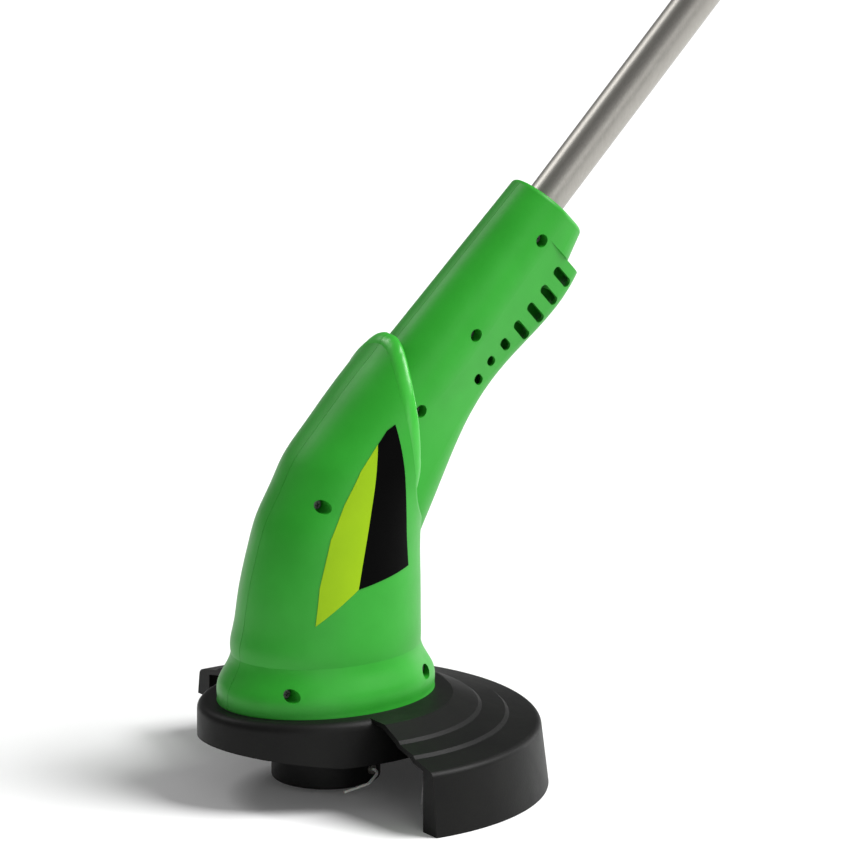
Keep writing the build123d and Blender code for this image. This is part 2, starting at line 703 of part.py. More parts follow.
with BuildPart() as stator_core:
    with BuildSketch(Plane.XY.offset(STATOR_Z)):
        Circle(STATOR_RADIUS)
        Circle(STATOR_RADIUS - 7, mode=Mode.SUBTRACT)
        with PolarLocations(29.5, 2):
            Rectangle(10, 26)
        Circle(ARMATURE_RADIUS + AIR_GAP, mode=Mode.SUBTRACT)
    extrude(amount=STATOR_HEIGHT)
stator_core.part.label = "stator_core"

with BuildPart() as field_coils:
    for angle in (0, 180):
        with BuildSketch(radial_plane(angle, STATOR_Z + STATOR_HEIGHT / 2, 26.2)):
            RectangleRounded(STATOR_HEIGHT + 12, 40, 5)
            RectangleRounded(STATOR_HEIGHT + 0.4, 26.4, 0.1, mode=Mode.SUBTRACT)
        extrude(amount=6)
    with BuildSketch(Plane.XY.offset(STATOR_Z - 10)):
        Circle(STATOR_RADIUS - 7.2)
        Circle(ARMATURE_RADIUS + 2, mode=Mode.SUBTRACT)
    extrude(amount=STATOR_HEIGHT + 20, mode=Mode.INTERSECT)
field_coils.part.label = "field_coils"

with BuildPart() as armature_core:
    with BuildSketch(Plane.XY.offset(STATOR_Z + 1)):
        Circle(ARMATURE_RADIUS)
        Circle(SHAFT_RADIUS + SLIP, mode=Mode.SUBTRACT)
        with PolarLocations(ARMATURE_RADIUS - 5, 12):
            SlotOverall(9, 4, mode=Mode.SUBTRACT)
    extrude(amount=STATOR_HEIGHT - 2)
armature_core.part.label = "armature_core"

with BuildPart() as armature_winding:
    for z in (STATOR_Z - 5.2, STATOR_Z + STATOR_HEIGHT - 0.8):
        with BuildSketch(Plane.XY.offset(z)):
            Circle(ARMATURE_RADIUS - 2)
            Circle(SHAFT_RADIUS + 1, mode=Mode.SUBTRACT)
        extrude(amount=6)
    with BuildSketch(Plane.XY.offset(STATOR_Z)):
        with PolarLocations(ARMATURE_RADIUS - 5, 12):
            SlotOverall(8.6, 3.6)
    extrude(amount=STATOR_HEIGHT)
    fillet(armature_winding.edges().filter_by(GeomType.CIRCLE).sort_by(Axis.Z)[-1:], 1)
armature_winding.part.label = "armature_winding"

with BuildPart() as commutator:
    with BuildSketch(Plane.XY.offset(COMMUTATOR_Z)):
        Circle(COMMUTATOR_RADIUS)
        Circle(SHAFT_RADIUS + SLIP, mode=Mode.SUBTRACT)
        with PolarLocations(COMMUTATOR_RADIUS, 24):
            Rectangle(3, 0.5, mode=Mode.SUBTRACT)
    extrude(amount=COMMUTATOR_HEIGHT)
commutator.part.label = "commutator"

with BuildPart() as fan:
    with BuildSketch(Plane.XZ):
        with BuildLine():
            Polyline((SHAFT_RADIUS + SLIP, FAN_Z), (FAN_RADIUS, FAN_Z), (FAN_RADIUS, FAN_Z + 1.6), (12, FAN_Z + 2.4), (10, FAN_Z + FAN_HEIGHT),
                     (SHAFT_RADIUS + SLIP, FAN_Z + FAN_HEIGHT), close=True)
        make_face()
    revolve(axis=Axis.Z)
    with BuildSketch(Plane.XY.offset(FAN_Z + 1)):
        with PolarLocations(26, FAN_BLADES):
            Rectangle(31, 1.6, rotation=18)
    extrude(amount=FAN_HEIGHT - 2)
fan.part.label = "fan"

with BuildPart() as end_bell:
    with BuildSketch(Plane.XY.offset(END_BELL_Z)):
        SlotOverall(2 * STATOR_RADIUS - 12, 40)
        Circle(BEARING_RADIUS - 3, mode=Mode.SUBTRACT)
    extrude(amount=END_BELL_HEIGHT)
    with BuildSketch(Plane.XY.offset(END_BELL_Z - 4)):
        Circle(BEARING_RADIUS + 4)
    extrude(amount=4)
    with BuildSketch(Plane.XY.offset(END_BELL_Z - 4)):
        Circle(BEARING_RADIUS + SLIP)
    extrude(amount=BEARING_WIDTH + 1.02, mode=Mode.SUBTRACT)
    for angle in (90, 270):
        with BuildSketch(Plane.XY.offset(STATOR_Z + STATOR_HEIGHT)):
            with PolarLocations(STATOR_RADIUS - 3.5, 1, start_angle=angle):
                Rectangle(6, 14)
        extrude(amount=END_BELL_Z - STATOR_Z - STATOR_HEIGHT + 2)
        with BuildSketch(Plane.XY.offset(END_BELL_Z)):
            with PolarLocations(STATOR_RADIUS - 12, 1, start_angle=angle):
                Rectangle(23, 14)
        extrude(amount=4)
end_bell.part.label = "end_bell"

brush_z = COMMUTATOR_Z + COMMUTATOR_HEIGHT / 2
with BuildPart() as brush_holders:
    for angle in (0, 180):
        with BuildSketch(radial_plane(angle, brush_z, COMMUTATOR_RADIUS + 2)):
            Rectangle(12, 10)
            Rectangle(8.2, 6.2, mode=Mode.SUBTRACT)
        extrude(amount=20)
        with BuildSketch(radial_plane(angle, brush_z, BEARING_RADIUS + 5)):
            with Locations((10, 0)):
                Rectangle(10, 10)
        extrude(amount=8)
brush_holders.part.label = "brush_holders"

with BuildPart() as carbon_brushes:
    for angle in (0, 180):
        with BuildSketch(radial_plane(angle, brush_z, COMMUTATOR_RADIUS + 0.35)):
            Rectangle(8, 6)
        extrude(amount=14)
carbon_brushes.part.label = "carbon_brushes"

# Rear handle


def handle_stations():
    """Place along and under the tube, turn, and half sizes of the rear handle's cross sections."""
    return [
        (690, 0, 0, 19, 19),
        (735, 1, 0, 22, 20.5),
        (785, 8, 4, 30, 21),
        (832, 17, 18, 22, 18.5),
        (895, 41, 23, 17.5, 17),
        (950, 65, 23, 20, 18),
        (985, 80, 23, 27, 21),
    ]


def handle_form(inset, first):
    """The rear handle's loft from a station to the tail, drawn in by inset."""
    with BuildPart() as form:
        for along, under, turn, half_under, half_side in handle_stations()[first:]:
            with BuildSketch(across_tube(along, under, turn)):
                Ellipse(half_under - inset, half_side - inset)
        loft()
    return form.part


pivot = on_tube(TRIGGER_ALONG, TRIGGER_UNDER)
handle_sites = [
    (on_tube(HANDLE_TUBE_SCREW), 13.6),
    (on_tube(868, 38), 10.0),
    (on_tube(925, 61), 10.0),
]
handle_points = [point for point, depth in handle_sites]
tail = across_tube(985, 80, 23)
handle_plane = Plane(origin=on_tube(0), x_dir=tube_dir, z_dir=-SIDE)


def box_on_tube(start, end, top, bottom, half):
    """A block between two places along the tube and two depths, half as wide each way."""
    with BuildPart() as block:
        with BuildSketch(handle_plane):
            with Locations(((start + end) / 2, -(top + bottom) / 2)):
                Rectangle(end - start, bottom - top)
        extrude(amount=half, both=True)
    return block.part


with BuildPart() as handle_inner:
    add(handle_form(HANDLE_WALL, 2))
    add(box_on_tube(700, TUBE_TOP + 8, -60, 60, 60), mode=Mode.SUBTRACT)

with BuildPart() as handle_ribs:
    add(side_cylinders(handle_points[1:] + [pivot], 4.6, -30, 30))
    add(box_on_tube(SWITCH_ALONG - 2.4, SWITCH_ALONG - SEAT, 0, 8, 30))
    with BuildSketch(handle_plane):
        with Locations((SWITCH_ALONG + SWITCH_LENGTH + 1.2 + SEAT, -4)):
            Rectangle(2.4, 8)
    extrude(amount=30)
    add(box_on_tube(TRIGGER_ALONG - 12, TRIGGER_ALONG + 60, -12, 60, TRIGGER_HALF + GAP), mode=Mode.SUBTRACT)
    add(handle_inner.part, mode=Mode.INTERSECT)

with BuildPart() as handle_blank:
    add(handle_form(0, 0))
    add(handle_inner.part, mode=Mode.SUBTRACT)
    add(handle_ribs.part)
    with BuildSketch(across_tube(600)):
        Circle(tube_radius + SLIP)
    extrude(amount=TUBE_TOP + 18 - 600, mode=Mode.SUBTRACT)
    add(box_on_tube(TRIGGER_ALONG - 7, TRIGGER_ALONG + TRIGGER_REACH + 2, TRIGGER_UNDER + 8, 70, TRIGGER_HALF + GAP),
        mode=Mode.SUBTRACT)
    add(box_on_tube(LOCK_ALONG - LOCK_LENGTH / 2 - 0.3, LOCK_ALONG + LOCK_LENGTH / 2 + 0.3, -40, -12, LOCK_WIDTH / 2 + 0.3),
        mode=Mode.SUBTRACT)
    with BuildSketch(tail.offset(-INLET_DEPTH)):
        RectangleRounded(INLET_LENGTH + 2 * SEAT, INLET_WIDTH + 2 * SEAT, 5)
    extrude(amount=2 * INLET_DEPTH, mode=Mode.SUBTRACT)

with BuildPart() as handle_left:
    add(handle_blank.part)
    split(bisect_by=Plane.XZ.offset(PARTING / 2), keep=Keep.TOP)
    for point, depth in handle_sites:
        add(side_cylinders([point], WELL_RADIUS, -40, -depth), mode=Mode.SUBTRACT)
    add(side_cylinders(handle_points, SCREW_RADIUS + SEAT, -40, 0), mode=Mode.SUBTRACT)
    add(side_cylinders([pivot], SCREW_RADIUS + SLIP, -14, 0), mode=Mode.SUBTRACT)
handle_left.part.label = "handle_left"

with BuildPart() as handle_right:
    add(handle_blank.part)
    split(bisect_by=Plane.XZ.offset(-PARTING / 2), keep=Keep.BOTTOM)
    add(side_cylinders(handle_points, SCREW_RADIUS, -1, SCREW_BITE + 2), mode=Mode.SUBTRACT)
    add(side_cylinders([pivot], SCREW_RADIUS + SLIP, 0, 14), mode=Mode.SUBTRACT)
handle_right.part.label = "handle_right"

with BuildPart() as handle_screws:
    for point, depth in handle_sites:
        add(screw(point, depth, SCREW_BITE))
handle_screws.part.label = "handle_screws"

with BuildPart() as trigger_pin:
    add(side_cylinders([pivot], SCREW_RADIUS, -13.8, 13.8))
trigger_pin.part.label = "trigger_pin"


def by_pivot(along, under):
    """A place in the handle's side view, counted from the trigger's pivot."""
    return (TRIGGER_ALONG + along, -TRIGGER_UNDER - under)


with BuildPart() as trigger:
    with BuildSketch(handle_plane):
        with BuildLine():
            Polyline(by_pivot(-4, 16), by_pivot(-5, -3), by_pivot(-2, -5), by_pivot(2, -5), by_pivot(TRIGGER_REACH - 3, 1),
                     by_pivot(TRIGGER_REACH - 1, 12))
            Spline(by_pivot(TRIGGER_REACH - 1, 12), by_pivot(TRIGGER_REACH - 12, 23), by_pivot(28, 28), by_pivot(12, 27), by_pivot(-4, 16))
        make_face()
    extrude(amount=TRIGGER_HALF, both=True)
    add(side_cylinders([pivot], SCREW_RADIUS + SLIP, -30, 30), mode=Mode.SUBTRACT)
trigger.part.label = "trigger"

with BuildPart() as lock_button:
    add(box_on_tube(LOCK_ALONG - LOCK_LENGTH / 2, LOCK_ALONG + LOCK_LENGTH / 2, -24.5, -7, LOCK_WIDTH / 2))
    fillet(lock_button.edges().filter_by(Axis(on_tube(0), under_dir)), 2)
    add(box_on_tube(LOCK_ALONG - LOCK_LENGTH / 2 - 1.2, LOCK_ALONG + LOCK_LENGTH / 2 + 1.2, -9, -6.5, LOCK_WIDTH / 2 + 1.2))
lock_button.part.label = "lock_button"

with BuildPart() as switch_body:
    add(box_on_tube(SWITCH_ALONG, SWITCH_ALONG + SWITCH_LENGTH, 0, TRIGGER_UNDER - 8, 9.5))
switch_body.part.label = "switch_body"

with BuildPart() as power_inlet:
    with BuildSketch(tail.offset(-INLET_DEPTH)):
        RectangleRounded(INLET_LENGTH, INLET_WIDTH, 5)
    extrude(amount=INLET_DEPTH + 1)
    with BuildSketch(tail.offset(4 - INLET_DEPTH)):
        RectangleRounded(INLET_LENGTH - 5, INLET_WIDTH - 5, 3)
    extrude(amount=INLET_DEPTH, mode=Mode.SUBTRACT)
    with BuildSketch(tail.offset(-INLET_DEPTH)):
        with Locations((-7, 0), (7, 0)):
            Circle(2)
    extrude(amount=4, mode=Mode.SUBTRACT)
power_inlet.part.label = "power_inlet"

with BuildPart() as inlet_pins:
    with BuildSketch(tail.offset(-INLET_DEPTH)):
        with Locations((-7, 0), (7, 0)):
            Circle(2)
    extrude(amount=INLET_DEPTH - 5)
    fillet(inlet_pins.edges().group_by(Axis(on_tube(0), tail.z_dir))[-1], 0.8)
inlet_pins.part.label = "inlet_pins"


def lead(points, radius, bend):
    """A round cable through the given points."""
    with BuildPart() as cable:
        with BuildLine():
            path = FilletPolyline(*points, radius=bend)
        with BuildSketch(Plane(origin=path @ 0, z_dir=path % 0)):
            Circle(radius)
        sweep()
    return cable.part


with BuildPart() as motor_lead:
    add(lead([Vector(24, 0, END_BELL_Z + END_BELL_HEIGHT + 3), on_tube(60, 22), on_tube(140, 14),
              on_tube(172, 7), on_tube(TUBE_TOP + 2, 7), on_tube(SWITCH_ALONG - 0.5, 4)], 3, 8))
motor_lead.part.label = "motor_lead"

inlet_back = tail.offset(-INLET_DEPTH).origin
with BuildPart() as inlet_lead:
    add(lead([on_tube(SWITCH_ALONG + SWITCH_LENGTH + 0.4, 4, 6), on_tube(833, 9, 10.4), on_tube(856, 17, 10.2),
              on_tube(868, 27, 8), on_tube(925, 50, 3), inlet_back - tail.z_dir * 0.6], 2.2, 3))
    add(switch_body.part, mode=Mode.SUBTRACT)
inlet_lead.part.label = "inlet_lead"

# Front handle
front = across_tube(FRONT_ALONG)
with BuildPart() as front_clamp:
    with BuildSketch(front.offset(-FRONT_WIDTH / 2)):
        Circle(tube_radius + 6)
        with Locations((-FRONT_PIVOT / 2, 0)):
            Rectangle(FRONT_PIVOT, 2 * FRONT_LUG)
        Circle(tube_radius + SLIP, mode=Mode.SUBTRACT)
    extrude(amount=FRONT_WIDTH)
    with BuildSketch(handle_plane):
        with Locations((FRONT_ALONG, FRONT_PIVOT)):
            Circle(FRONT_WIDTH / 2)
    extrude(amount=FRONT_LUG, both=True)
    with BuildSketch(handle_plane):
        with Locations((FRONT_ALONG, FRONT_PIVOT)):
            Circle(BOLT_RADIUS + SLIP)
    extrude(amount=60, both=True, mode=Mode.SUBTRACT)
front_clamp.part.label = "front_clamp"

foot = FRONT_LUG + GAP
with BuildPart() as front_handle:
    with BuildLine(front):
        loop = FilletPolyline((-FRONT_PIVOT - 6, foot + 7), (-FRONT_PIVOT - 20, foot + 8), (-FRONT_PIVOT - 46, LOOP_HALF), (-LOOP_TOP, LOOP_HALF),
                              (-LOOP_TOP, -LOOP_HALF), (-FRONT_PIVOT - 46, -LOOP_HALF), (-FRONT_PIVOT - 20, -foot - 8), (-FRONT_PIVOT - 6, -foot - 7), radius=14)
    with BuildSketch(Plane(origin=loop @ 0, z_dir=loop % 0)):
        Circle(LOOP_RADIUS)
    sweep()
    for hand in (-1, 1):
        with BuildSketch(handle_plane.offset(-hand * foot)):
            with Locations((FRONT_ALONG, FRONT_PIVOT)):
                Circle(FRONT_WIDTH / 2)
        extrude(amount=-hand * FRONT_EYE)
    add(box_on_tube(FRONT_ALONG - 40, FRONT_ALONG + 40, -FRONT_PIVOT - 60, 0, FRONT_LUG + GAP), mode=Mode.SUBTRACT)
    with BuildSketch(handle_plane):
        with Locations((FRONT_ALONG, FRONT_PIVOT)):
            Circle(BOLT_RADIUS + SLIP)
    extrude(amount=60, both=True, mode=Mode.SUBTRACT)
front_handle.part.label = "front_handle"

with BuildPart() as front_grip:
    with BuildSketch(Plane(origin=on_tube(FRONT_ALONG, -LOOP_TOP, -GRIP_HALF), x_dir=tube_dir, z_dir=SIDE)):
        Circle(LOOP_RADIUS + 4)
        Circle(LOOP_RADIUS + SLIP, mode=Mode.SUBTRACT)
    extrude(amount=2 * GRIP_HALF)
    fillet(front_grip.edges().filter_by(GeomType.CIRCLE).sort_by(SortBy.RADIUS)[-2:], 1.5)
front_grip.part.label = "front_grip"

with BuildPart() as clamp_bolt:
    with BuildSketch(handle_plane.offset(foot + FRONT_EYE + SEAT)):
        with Locations((FRONT_ALONG, FRONT_PIVOT)):
            RegularPolygon(7.5, 6)
    extrude(amount=5)
    with BuildSketch(handle_plane.offset(foot + FRONT_EYE + SEAT)):
        with Locations((FRONT_ALONG, FRONT_PIVOT)):
            Circle(BOLT_RADIUS)
    extrude(amount=-2 * (foot + FRONT_EYE) - 12)
clamp_bolt.part.label = "clamp_bolt"

with BuildPart() as clamp_knob:
    with BuildSketch(handle_plane.offset(-foot - FRONT_EYE - 0.4)):
        with Locations((FRONT_ALONG, FRONT_PIVOT)):
            Circle(16)
            Circle(BOLT_RADIUS + SLIP, mode=Mode.SUBTRACT)
        with Locations((FRONT_ALONG, FRONT_PIVOT)):
            with PolarLocations(18, 6):
                Circle(5.5, mode=Mode.SUBTRACT)
    extrude(amount=-13)
clamp_knob.part.label = "clamp_knob"

# Springs
with BuildPart() as spool_spring:
    with BuildLine():
        spring_foot = SPOOL_TOP + 2.4 + SPRING_WIRE / 2 + 0.2
        spring_rise = HEAD_TOP - 4 - spring_foot - SPRING_WIRE / 2 - 0.2
        coil = Helix(spring_rise / SPRING_TURNS, spring_rise, SPRING_RADIUS, center=(0, 0, spring_foot))
    with BuildSketch(Plane(origin=coil @ 0, z_dir=coil % 0)):
        Circle(SPRING_WIRE / 2)
    sweep(is_frenet=True)
spool_spring.part.label = "spool_spring"

pieces = [
    housing_left, housing_right, shaft_tube, housing_screws, guard, guard_screws, line_cutter,
    cutter_rivets, head_base, head_cover, line_eyelets, tap_button, spool, spool_clip, wound_line,
    cutting_line, motor_shaft, lower_bearing, upper_bearing, motor_bracket, stator_core, field_coils,
    armature_core, armature_winding, commutator, fan, end_bell, brush_holders, carbon_brushes,
    handle_left, handle_right, handle_screws, trigger_pin, trigger, lock_button, switch_body,
    power_inlet, inlet_pins, motor_lead, inlet_lead, front_clamp, front_handle, front_grip, clamp_bolt,
    clamp_knob, spool_spring,
]
os.makedirs("parts", exist_ok=True)
for piece in pieces:
    solids = piece.part.solids()
    print(piece.part.label, piece.part.is_valid, len(solids), round(piece.part.volume))
    export_step(piece.part, f"parts/{piece.part.label}.step")
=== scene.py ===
# %% [markdown]
# # String trimmer
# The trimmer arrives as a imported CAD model: every moulding, screw and motor piece is already in place, in
# metres, with +Z up the motor axis and +X towards the operator. This lesson dresses it: it sets the camera
# where the photograph was taken, lights a pale studio, adds the pieces that are easier to shape as meshes,
# and gives every surface a finish made from nodes.

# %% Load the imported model
import bpy
import bmesh
import json
import math
import numpy as np
from mathutils import Vector, Matrix
from mathutils.bvhtree import BVHTree


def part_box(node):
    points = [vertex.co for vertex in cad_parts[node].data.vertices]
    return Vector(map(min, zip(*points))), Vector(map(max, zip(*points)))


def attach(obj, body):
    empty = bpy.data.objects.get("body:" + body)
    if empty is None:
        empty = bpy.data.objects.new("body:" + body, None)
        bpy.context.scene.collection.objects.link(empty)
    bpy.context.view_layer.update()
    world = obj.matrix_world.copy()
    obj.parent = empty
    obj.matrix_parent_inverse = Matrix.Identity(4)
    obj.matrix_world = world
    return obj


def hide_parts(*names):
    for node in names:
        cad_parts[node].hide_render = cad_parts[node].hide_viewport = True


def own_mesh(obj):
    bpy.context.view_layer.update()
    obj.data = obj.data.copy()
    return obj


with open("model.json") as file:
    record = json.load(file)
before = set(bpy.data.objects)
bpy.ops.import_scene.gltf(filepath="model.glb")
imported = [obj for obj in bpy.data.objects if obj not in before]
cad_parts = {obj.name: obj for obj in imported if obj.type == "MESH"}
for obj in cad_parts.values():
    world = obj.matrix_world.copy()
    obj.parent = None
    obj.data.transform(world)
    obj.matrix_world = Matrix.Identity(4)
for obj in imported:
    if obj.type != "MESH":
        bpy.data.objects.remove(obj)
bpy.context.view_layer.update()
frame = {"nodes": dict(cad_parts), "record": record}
nodes = frame["nodes"]

# %% [markdown]
# ## Camera
# The edges of the tube stay parallel in the photograph, so it was taken from far off with a long lens.
# The camera stands 33 degrees round from the side of the trimmer and 16.5 degrees up. From 24 m away a
# lens of about 1540 mm shows 560 mm of the scene, which puts the tube at its photographed width. An
# orthographic camera would do as well, but a long lens keeps a trace of depth, as the photograph does.

# %% Camera
VIEW_ROUND = math.radians(33)
VIEW_UP = math.radians(16.5)
VIEW_DISTANCE = 24.0
VIEW_WIDTH = 0.5597
SENSOR = 36.0
SIGHT_END = 100
looks_at = Vector((0.0908, 0.0209, 0.2263))
level = math.cos(VIEW_UP)
view_dir = Vector((math.sin(VIEW_ROUND) * level, math.cos(VIEW_ROUND) * level, -math.sin(VIEW_UP)))
camera_data = bpy.data.cameras.new("camera")
camera_data.lens = SENSOR * VIEW_DISTANCE / VIEW_WIDTH
camera_data.sensor_width = SENSOR
camera_data.clip_end = SIGHT_END
camera = bpy.data.objects.new("camera", camera_data)
camera.location = looks_at - view_dir * VIEW_DISTANCE
camera.rotation_euler = view_dir.to_track_quat("-Z", "Y").to_euler()
bpy.context.scene.collection.objects.link(camera)
bpy.context.scene.camera = camera
print("camera at", [round(v, 3) for v in camera.location])

# %% [markdown]
# ## Finishes
# Moulded plastic is never one flat colour: the mould leaves a fine spark-eroded grain, and the pigment
# clouds a little from place to place. A picture could be wrapped round each piece, but noise on Object
# coordinates needs no unwrapping and has no seams. Two helpers start a material and a noise texture.

# %% Material and noise helpers
def new_finish(name):
    """An empty material, with its tree, its shader and its texture coordinates."""
    finish = bpy.data.materials.new(name)
    finish.use_nodes = True
    tree = finish.node_tree
    shader = tree.nodes["Principled BSDF"]
    place = tree.nodes.new("ShaderNodeTexCoord")
    return finish, tree, shader, place


def noise(tree, place, scale, detail=3.0, stretch=None, turn=None):
    """A noise texture in metres on Object coordinates, stretched and turned by a Mapping node if asked."""
    source = place.outputs["Object"]
    if stretch:
        mapping = tree.nodes.new("ShaderNodeMapping")
        mapping.inputs["Scale"].default_value = stretch
        if turn:
            mapping.inputs["Rotation"].default_value = turn
        tree.links.new(source, mapping.inputs["Vector"])
        source = mapping.outputs["Vector"]
    texture = tree.nodes.new("ShaderNodeTexNoise")
    texture.inputs["Scale"].default_value = scale
    texture.inputs["Detail"].default_value = detail
    tree.links.new(source, texture.inputs["Vector"])
    return texture.outputs["Fac"]


print("helpers:", new_finish.__name__, noise.__name__)

# %% [markdown]
# Three more helpers lead a noise into the shader: a slow one becomes the tint, a middling one the shine and
# a fine one the grain. Values that are the same all over go straight onto the shader.

# %% Tint, shine and grain helpers
TINT_FROM = 0.3
TINT_TO = 0.7


def tint(tree, shader, fac, dark, light):
    """Base colour between two shades."""
    ramp = tree.nodes.new("ShaderNodeValToRGB")
    ramp.color_ramp.elements[0].position = TINT_FROM
    ramp.color_ramp.elements[0].color = (*dark, 1)
    ramp.color_ramp.elements[1].position = TINT_TO
    ramp.color_ramp.elements[1].color = (*light, 1)
    tree.links.new(fac, ramp.inputs["Fac"])
    tree.links.new(ramp.outputs["Color"], shader.inputs["Base Color"])


def shine(tree, shader, fac, low, high):
    """Roughness between two values."""
    spread = tree.nodes.new("ShaderNodeMapRange")
    spread.inputs["To Min"].default_value = low
    spread.inputs["To Max"].default_value = high
    tree.links.new(fac, spread.inputs["Value"])
    tree.links.new(spread.outputs["Result"], shader.inputs["Roughness"])


def grain(tree, shader, fac, strength, depth):
    """Bump of the given depth in metres."""
    bump = tree.nodes.new("ShaderNodeBump")
    bump.inputs["Strength"].default_value = strength
    bump.inputs["Distance"].default_value = depth
    tree.links.new(fac, bump.inputs["Height"])
    tree.links.new(bump.outputs["Normal"], shader.inputs["Normal"])


print("helpers:", tint.__name__, shine.__name__, grain.__name__)

# %% [markdown]
# The housing is satin green, the guard and line head are matt black with a coarser grain, and the hidden
# mouldings are charcoal nylon. Grip and leads are rubber, which is rougher still. One function makes them
# all, because they differ only in shade, roughness and grain.

# %% Moulded plastics
CLOUD_SCALE = 28
SHINE_SCALE = 90
GRAIN_DEPTH = 0.0004
GRAIN_DETAIL = 2.0


def moulded(name, dark, light, low, high, grain_scale=1500, strength=0.12, gloss=0.5):
    """Plastic from a mould: clouded tint, patchy shine and a fine grain."""
    finish, tree, shader, place = new_finish(name)
    shader.inputs["Specular IOR Level"].default_value = gloss
    tint(tree, shader, noise(tree, place, CLOUD_SCALE), dark, light)
    shine(tree, shader, noise(tree, place, SHINE_SCALE), low, high)
    grain(tree, shader, noise(tree, place, grain_scale, GRAIN_DETAIL), strength, GRAIN_DEPTH)
    return finish


green = moulded("green_moulded", (0.018, 0.30, 0.016), (0.024, 0.34, 0.022), 0.40, 0.48, gloss=0.35)
black = moulded("black_moulded", (0.004, 0.004, 0.004), (0.0065, 0.0065, 0.006), 0.44, 0.54,
                900, 0.2, 0.15)
charcoal = moulded("charcoal_nylon", (0.03, 0.03, 0.032), (0.045, 0.045, 0.048), 0.5, 0.62)
rubber = moulded("black_rubber", (0.012, 0.012, 0.012), (0.02, 0.02, 0.02), 0.7, 0.85, 700, 0.3)
print("plastics:", green.name, black.name, charcoal.name, rubber.name)

# %% [markdown]
# The tube is drawn aluminium with fine lines along its length. Noise squeezed across the tube and drawn out
# along it gives those lines; the Mapping node first turns the pattern by the tube's 45 degrees of lean.
# Screws and bearings are plated steel, and the motor has stacked sheet steel, copper and brass. One function
# serves them all: in metal the same lines change tint, shine and bump together.

# %% Metals
TUBE_LEAN = math.radians(45)
METAL_DEPTH = 0.0003
LINE_DETAIL = 4.0


def metal(name, dark, light, low, high, stretch=None, turn=None, scale=220.0, strength=0.05):
    """Metal whose tint, shine and bump all follow the same lines."""
    finish, tree, shader, place = new_finish(name)
    shader.inputs["Metallic"].default_value = 1.0
    lines = noise(tree, place, scale, LINE_DETAIL, stretch, turn)
    tint(tree, shader, lines, dark, light)
    shine(tree, shader, lines, low, high)
    grain(tree, shader, lines, strength, METAL_DEPTH)
    return finish


drawn = metal("drawn_aluminium", (0.37, 0.355, 0.325), (0.43, 0.415, 0.385), 0.38, 0.46,
              (1.0, 1.0, 0.004), (0, -TUBE_LEAN, 0), 1400.0, 0.02)
plated = metal("plated_steel", (0.12, 0.12, 0.12), (0.2, 0.2, 0.2), 0.4, 0.55)
sheet_steel = metal("stacked_sheet_steel", (0.15, 0.15, 0.16), (0.24, 0.24, 0.25), 0.35, 0.5,
                    (0.05, 0.05, 1), None, 2000.0)
copper = metal("enamelled_copper", (0.45, 0.17, 0.06), (0.66, 0.28, 0.11), 0.25, 0.4, None, None, 400.0)
brass = metal("brass", (0.5, 0.36, 0.12), (0.64, 0.48, 0.2), 0.22, 0.35)
print("metals:", drawn.name, plated.name, sheet_steel.name, copper.name, brass.name)

# %% [markdown]
# The cutting line is milky nylon: a little light passes into it, so it gets some subsurface colour. Clear
# transmission would show the line head through it, which milky nylon doesn't.

# %% Nylon line
NYLON_CLOUDS = 160
NYLON_MILK = 0.2
NYLON_DEPTH = 0.002
NYLON_ROUGHNESS = 0.35
nylon, tree, shader, place = new_finish("milky_nylon")
tint(tree, shader, noise(tree, place, NYLON_CLOUDS), (0.78, 0.78, 0.73), (0.88, 0.88, 0.84))
shader.inputs["Subsurface Weight"].default_value = NYLON_MILK
shader.inputs["Subsurface Scale"].default_value = NYLON_DEPTH
shader.inputs["Roughness"].default_value = NYLON_ROUGHNESS
print("line:", nylon.name)

# %% [markdown]
# ## Dressing the CAD nodes
# Each node could be given its finish by name, but the record already says what every node is made of. So
# one table from material slot to finish dresses them all.

# %% Finishes on the nodes
finish_of_slot = {
    "green_plastic": green, "black_plastic": black, "dark_nylon": charcoal, "aluminium": drawn,
    "steel": plated, "lamination": sheet_steel, "copper": copper, "brass": brass, "carbon": rubber,
    "cable_rubber": rubber, "soft_rubber": rubber, "clear_nylon": nylon,
}
for entry in frame["record"]["subparts"]:
    mesh = nodes[entry["node"]].data
    mesh.materials.clear()
    mesh.materials.append(finish_of_slot[entry["material_slot"]])

# %% [markdown]
# ## The side sticker
# A thin vinyl sticker lies on the side of the pod, and it has to follow the curve of the moulding. A BVH
# tree of the CAD mesh answers where a ray meets that moulding, without changing it. Two helpers are ready
# for the pieces to come: one turns an open sheet the right way out, one makes an object of a bmesh.

# %% Pod surface and finished pieces
MM_IN_M = 1000
ACROSS = Vector((0, 1, 0))
pod_surface = BVHTree.FromPolygons(
    [v.co.copy() for v in nodes["housing_left"].data.vertices],
    [tuple(face.vertices) for face in nodes["housing_left"].data.polygons],
)


def finished(name, shape, finish, sharp):
    """An object at the origin from a bmesh, smooth but for edges sharper than an angle in degrees."""
    mesh = bpy.data.meshes.new(name)
    shape.to_mesh(mesh)
    shape.free()
    mesh.shade_smooth()
    mesh.set_sharp_from_angle(angle=math.radians(sharp))
    mesh.materials.append(finish)
    piece = bpy.data.objects.new(name, mesh)
    bpy.context.scene.collection.objects.link(piece)
    print(name, len(mesh.polygons), "faces")
    return piece


def face_near_side(shape):
    """Turn a sheet's faces to the near side, which is -Y."""
    bmesh.ops.recalc_face_normals(shape, faces=shape.faces)
    if sum(face.normal.y for face in shape.faces) > 0:
        bmesh.ops.reverse_faces(shape, faces=shape.faces)


print("pod surface:", len(nodes["housing_left"].data.polygons), "faces")

# %% [markdown]
# On the real trimmer the sticker is cut flat and rubbed down onto the curve: a lime field in front and a
# black field behind it. It could be painted into the green finish, but a sheet of its own has an edge that
# catches the light, as vinyl does. A fine grid is cut to each outline, one straight cut per edge, and each
# vertex is then dropped along Y onto the moulding.

